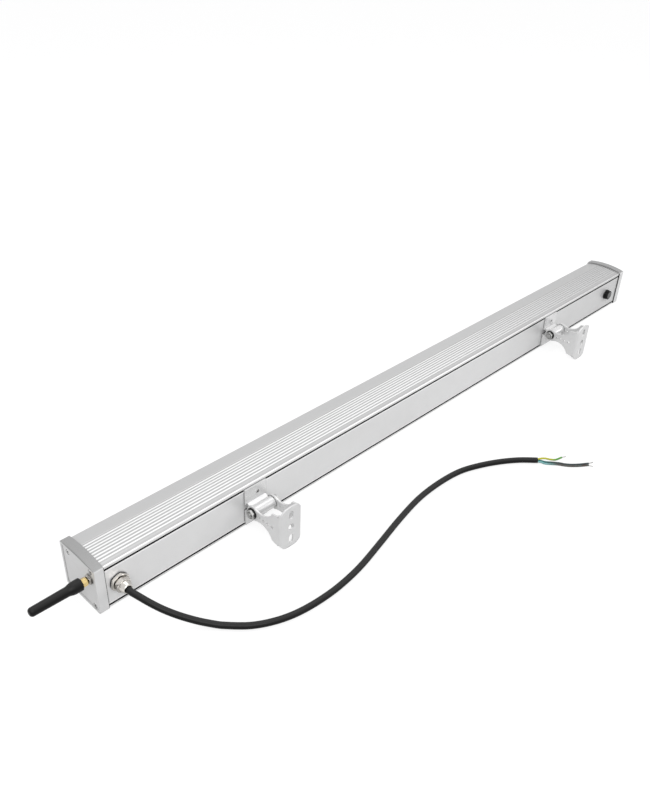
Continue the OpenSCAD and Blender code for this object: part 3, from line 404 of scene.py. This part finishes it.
def housing_look():
    """Anodised extrusion with painted light: highlights on the rib crest lines and lips,
    grey shade in each groove and dark shade inside the rail slots.
    """
    look, colour, roughness, normal = smooth_metal("alloy", 0.82, 0.87, 0.2, 0.36)
    x, y, z = look.axes()
    # Painted shade: the ribbed top is greyer than the faces
    above = look.remap(z, *RIBBED_TOP_Z)
    colour = look.blend(look.times(above, 0.72), colour, grey(0.45))
    # Share of the way from one groove's darkest line to the next
    turn = look.calc("DIVIDE", look.calc("SUBTRACT", GROOVE_Y, y), RIB_PITCH)
    wave = look.calc("COSINE", look.times(look.calc("FRACT", turn), math.tau))
    ribbed = look.times(above, look.between(y, *RIBS_Y, 0.6 * MM))
    # Painted highlights: the crests and bright edges fade towards the far end
    highlight_fade = look.remap(x, *HIGHLIGHT_FADE_X, 1.0, 0.3)
    crest_highlight = look.times(look.times(ribbed, look.remap(wave, 0.3, -0.7)), highlight_fade)
    colour = look.blend(crest_highlight, colour, grey(0.95))
    # Painted shade in the grooves, fainter towards the front
    groove_shade = look.times(look.times(ribbed, look.remap(wave, 0.1, 0.9)),
                         look.remap(y, *GROOVE_FADE_Y, 0.4, 0.85))
    colour = look.blend(groove_shade, colour, grey(0.33))
    # Painted shade: a darker strip lies behind the top's front edge
    shade_strip = look.between(y, *BEHIND_EDGE_Y, 0.3 * MM)
    colour = look.blend(look.times(look.times(above, shade_strip), 0.45), colour, grey(0.4))
    # Painted highlights on bright edges: the front's upper corner and the metal beside the rails
    front = look.remap(y, *FRONT_SKIN_Y, 1.0, 0.0)
    edge = look.times(front, look.remap(z, *CORNER_Z))
    for band in LIPS_Z:
        edge = look.calc("ADD", edge, look.times(front, look.between(z, *band)), True)
    colour = look.blend(look.times(edge, highlight_fade), colour, grey(1.0))
    # Painted shade: the bar darkens towards its far end, and the rails are dark inside
    colour = look.blend(look.remap(x, *FAR_SHADE_X, 0.0, 0.32), colour, grey(0.35))
    deep = look.between(y, *RAIL_DEPTH_Y)
    low, high = [look.between(z, *band) for band in RAILS_Z]
    rail_shade = look.times(deep, look.calc("ADD", low, high, True))
    colour = look.blend(rail_shade, colour, (0.006, 0.006, 0.007))
    look.finish(colour, roughness, normal)


def cast_look():
    """Fine grained casting, with painted shade in its corners and on its upper edge."""
    look = Look("cast_cap", Metallic=0.2)
    grain = look.noise(2600)
    body = look.blend(look.noise(60), grey(0.77), grey(0.85))
    # Painted shade in corners and beside other pieces
    corner_lit_share = look.remap(look.open_sky(3 * MM), 0.3, 0.9)
    body = look.blend(corner_lit_share, grey(0.3), body)
    # Painted shade: a darker copy of the casting on its top
    shaded_rim = look.blend(look.spread(grain), grey(0.30), grey(0.42))
    top = look.remap(look.axes()[2], *CAP_TOP_Z)
    colour = look.blend(top, body, shaded_rim)
    roughness = look.spread(grain, 0.42, 0.56)
    look.finish(colour, roughness, look.bump(grain, 0.05 * MM, 0.5, look.edges(0.5 * MM)))


def shaded(colour, share):
    return [c * share for c in colour]


def steel_look(name, tint, rough, shade=0.25, threaded=False):
    """Bright turned metal, with painted shade in its corners and below, with or without the
    jack's thread.
    """
    look = Look(name, Metallic=1.0)
    fine = look.noise(900)
    colour = look.blend(look.spread(look.noise(160)), shaded(tint, 0.84), tint)
    # Painted shade in corners, beside other pieces and on surfaces that face down
    lit_share = look.remap(look.open_sky(4 * MM), 0.25, 0.95)
    colour = look.blend(lit_share, shaded(tint, shade), colour)
    colour = look.blend(look.turned_up(-0.55, 0.25), shaded(tint, shade), colour)
    roughness = look.spread(fine, rough - 0.04, rough + 0.07)
    normal = look.bump(fine, 0.02 * MM, 0.4, look.edges(0.3 * MM))
    if threaded:
        x, y, z = look.axes()
        out = look.reach(look.calc("SUBTRACT", y, ANTENNA_Y), look.calc("SUBTRACT", z, ANTENNA_Z))
        wave = look.calc("SINE", look.times(x, math.tau / THREAD_PITCH))
        inside = look.remap(out, THREAD_R, THREAD_R + 0.2 * MM, 1.0, 0.0)
        normal = look.bump(look.times(wave, inside), 0.15 * MM, 0.8, normal)
    look.finish(colour, roughness, normal)


def rubber_look(name, tone, rough, scale=1400, depth=0.04 * MM, shine=0.3):
    """Black rubber with a fine grain, and a painted sheen where it faces up."""
    look = Look(name, Specular_IOR_Level=shine)
    grain = look.noise(scale)
    colour = look.blend(look.spread(look.noise(90)), grey(tone * 0.75), grey(tone * 1.3))
    # Painted sheen: lighter where it faces up
    colour = look.blend(look.turned_up(0.35, 0.95), colour, grey(tone * 6))
    roughness = look.spread(grain, rough - 0.05, rough + 0.08)
    look.finish(colour, roughness, look.bump(grain, depth, 0.5))


def plastic_look(name, dark, light, rough, scale=500, shine=0.5):
    """Moulded plastic with a fine texture and faint clouds."""
    look = Look(name, Specular_IOR_Level=shine)
    grain = look.noise(scale, 4)
    colour = look.blend(look.spread(look.noise(70)), dark, light)
    roughness = look.spread(grain, rough - 0.05, rough + 0.07)
    look.finish(colour, roughness, look.bump(grain, 0.03 * MM, 0.4))


def board_look(name, mask, trace, pad):
    """Circuit board: solder mask, raised traces and small pads."""
    look = Look(name)
    tracks = look.node("ShaderNodeTexBrick")
    look.feed(tracks.inputs["Vector"], look.mapped(Rotation=(math.pi / 2, 0, 0)))
    tracks.inputs["Scale"].default_value = 60
    tracks.inputs["Mortar Size"].default_value = 0.03
    tracks.inputs["Mortar Smooth"].default_value = 0.3
    line = tracks.outputs["Fac"]
    cells = look.node("ShaderNodeTexVoronoi")
    look.feed(cells.inputs["Vector"], look.place)
    cells.inputs["Scale"].default_value = 160
    dots = look.remap(cells.outputs["Distance"], 0.12, 0.2, 1.0, 0.0)
    colour = look.blend(look.spread(look.noise(25)), shaded(mask, 0.9), mask)
    colour = look.blend(line, colour, trace)
    colour = look.blend(look.times(dots, 0.6), colour, pad)
    roughness = look.remap(dots, 0.0, 1.0, 0.38, 0.25)
    look.finish(colour, roughness, look.bump(line, 0.05 * MM, 0.5))


def chip_look():
    """White package with faint clouds."""
    look = Look("chip")
    colour = look.blend(look.noise(400, 2), (0.7, 0.7, 0.68), (0.82, 0.82, 0.8))
    look.finish(colour, look.spread(look.noise(3000, 2), 0.3, 0.45))


def clear_look(name, tint, rough, ior):
    """Clear glass or plastic with a faint haze and a slight waviness."""
    look = Look(name, Transmission_Weight=1.0, IOR=ior)
    haze = look.noise(40)
    colour = look.blend(haze, tint, grey(1.0))
    roughness = look.remap(haze, 0.35, 0.7, rough, rough + 0.03)
    look.finish(colour, roughness, look.bump(look.noise(18, 2), 0.02 * MM, 0.3))


def wire_look(name, near, far=None, change=0.0, over=4 * MM):
    """Glossy insulation, one colour up to a place on X and, if given, another beyond."""
    look = Look(name, Coat_Weight=0.1, Specular_IOR_Level=0.3)
    grain = look.noise(1500, 2)
    tone = look.spread(look.noise(200, 2))
    colour = near
    if far:
        wander = look.times(look.calc("SUBTRACT", look.noise(300, 2), 0.5), 6 * MM)
        place = look.calc("ADD", look.axes()[0], wander)
        colour = look.blend(look.remap(place, change - over, change + over), near, far)
    colour = look.blend(look.times(tone, 0.3), colour, shaded(near, 0.6))
    look.finish(colour, look.spread(grain, 0.3, 0.4), look.bump(grain, 0.03 * MM, 0.4))


def metal_look(name, dark, light, rough):
    look, colour, roughness, normal = smooth_metal(name, dark, light, 0.35, rough)
    look.finish(colour, roughness, normal)


housing_look()
cast_look()
chip_look()
metal_look("clip_alloy", 0.74, 0.80, 0.24)
metal_look("foot_alloy", 0.73, 0.78, 0.34)
clear_look("glass", (0.86, 0.95, 0.92), 0.01, 1.5)
clear_look("lens", (0.95, 0.98, 1.0), 0.02, 1.49)
rubber_look("seal_rubber", 0.012, 0.6)
rubber_look("cable_jacket", 0.005, 0.32, 900, 0.03 * MM, 0.14)
rubber_look("sleeve_rubber", 0.004, 0.34, 1100, 0.03 * MM, 0.14)
plastic_look("black_plastic", grey(0.004), grey(0.010), 0.36, shine=0.22)
plastic_look("grey_disc", grey(0.11), grey(0.17), 0.62, 1500)
plastic_look("component", (0.05, 0.055, 0.06), (0.11, 0.11, 0.12), 0.45)
board_look("white_board", (0.82, 0.83, 0.82), (0.76, 0.77, 0.77), (0.6, 0.6, 0.58))
board_look("green_board", (0.02, 0.16, 0.07), (0.04, 0.24, 0.11), (0.55, 0.5, 0.35))
wire_look("lead", (0.5, 0.03, 0.02))
wire_look("earth_insulation", (0.62, 0.60, 0.05), (0.05, 0.33, 0.05), 32.5 * MM)
wire_look("live_insulation", (0.22, 0.48, 0.48), (0.07, 0.045, 0.035), 24 * MM)
wire_look("neutral_insulation", (0.02, 0.20, 0.20), (0.05, 0.05, 0.055), 24.5 * MM)
steel_look("steel", (0.66, 0.66, 0.65), 0.24)
steel_look("nickel", (0.70, 0.67, 0.63), 0.14)
steel_look("brass", (0.86, 0.66, 0.30), 0.2, 0.35, threaded=True)
steel_look("bare_conductor", (0.76, 0.75, 0.73), 0.25)


def dress():
    """Gives each CAD node and each added piece the finish of its slot."""
    slots = {s["node"]: s["material_slot"] for s in frame["record"]["subparts"]}
    for name, node in frame["nodes"].items():
        node.data.materials.clear()
        node.data.materials.append(LOOKS[slots[name]])
    for piece in (cable, tips, *cores.values()):
        piece.data.materials.append(LOOKS[piece["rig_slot"]])


dress()


# Studio

def white_to_view(tree):
    """1 for the rays that show a background: camera, glossy and transmission."""
    path = tree.nodes.new("ShaderNodeLightPath")
    total = path.outputs["Is Camera Ray"]
    for name in ("Is Glossy Ray", "Is Transmission Ray"):
        add = tree.nodes.new("ShaderNodeMath")
        add.operation = "ADD"
        add.use_clamp = True
        tree.links.new(total, add.inputs[0])
        tree.links.new(path.outputs[name], add.inputs[1])
        total = add.outputs[0]
    return total


def make_world():
    """White where it is seen, and a plain pale grey light on the object."""
    world = bpy.data.worlds.new("studio")
    bpy.context.scene.world = world
    world.use_nodes = True
    tree = world.node_tree
    shade = tree.nodes["Background"]
    mix = tree.nodes.new("ShaderNodeMix")
    mix.data_type = "RGBA"
    lighting, seen = colour_sockets(mix.inputs)
    lighting.default_value = (0.6, 0.6, 0.605, 1)
    seen.default_value = (1, 1, 1, 1)
    tree.links.new(white_to_view(tree), mix.inputs["Factor"])
    tree.links.new(colour_sockets(mix.outputs)[0], shade.inputs["Color"])
    shade.inputs["Strength"].default_value = 1


def make_floor(size=8, glow=0.78):
    """A grey floor that glows white to the camera and in reflections, and keeps a shadow."""
    mesh = bpy.data.meshes.new("studio_floor")
    corners = [(-size, -size, 0), (size, -size, 0), (size, size, 0), (-size, size, 0)]
    mesh.from_pydata(corners, [], [(0, 1, 2, 3)])
    floor = bpy.data.objects.new("studio_floor", mesh)
    bpy.context.scene.collection.objects.link(floor)
    material = bpy.data.materials.new("studio_floor")
    material.use_nodes = True
    tree = material.node_tree
    shader = tree.nodes["Principled BSDF"]
    shader.inputs["Base Color"].default_value = (0.3, 0.3, 0.3, 1)
    shader.inputs["Roughness"].default_value = 0.9
    shader.inputs["Specular IOR Level"].default_value = 0.1
    shader.inputs["Emission Color"].default_value = (1, 1, 1, 1)
    scale = tree.nodes.new("ShaderNodeMath")
    scale.operation = "MULTIPLY"
    scale.inputs[1].default_value = glow
    tree.links.new(white_to_view(tree), scale.inputs[0])
    tree.links.new(scale.outputs[0], shader.inputs["Emission Strength"])
    mesh.materials.append(material)


def softbox(name, place, target, size, power):
    """A rectangular lamp at a place, turned towards its target."""
    data = bpy.data.lights.new(name, "AREA")
    data.shape = "RECTANGLE"
    data.size, data.size_y = size
    data.energy = power
    lamp = bpy.data.objects.new(name, data)
    place, target = Vector(place), Vector(target)
    lamp.location = place
    lamp.rotation_euler = (target - place).to_track_quat("-Z", "Y").to_euler()
    bpy.context.scene.collection.objects.link(lamp)


make_world()
make_floor()
# Name, place, target, size in metres and power in watts
softbox("key", (-1.3, -1.3, 1.7), (0, 0, 0), (1.6, 1.2), 20)
softbox("top", (0.2, 0.3, 2.0), (0, 0, 0), (2.0, 1.2), 8)
softbox("fill", (1.6, -1.5, 0.9), (0.1, 0, 0), (1.2, 1.2), 8)

bpy.context.scene.view_settings.view_transform = "Standard"
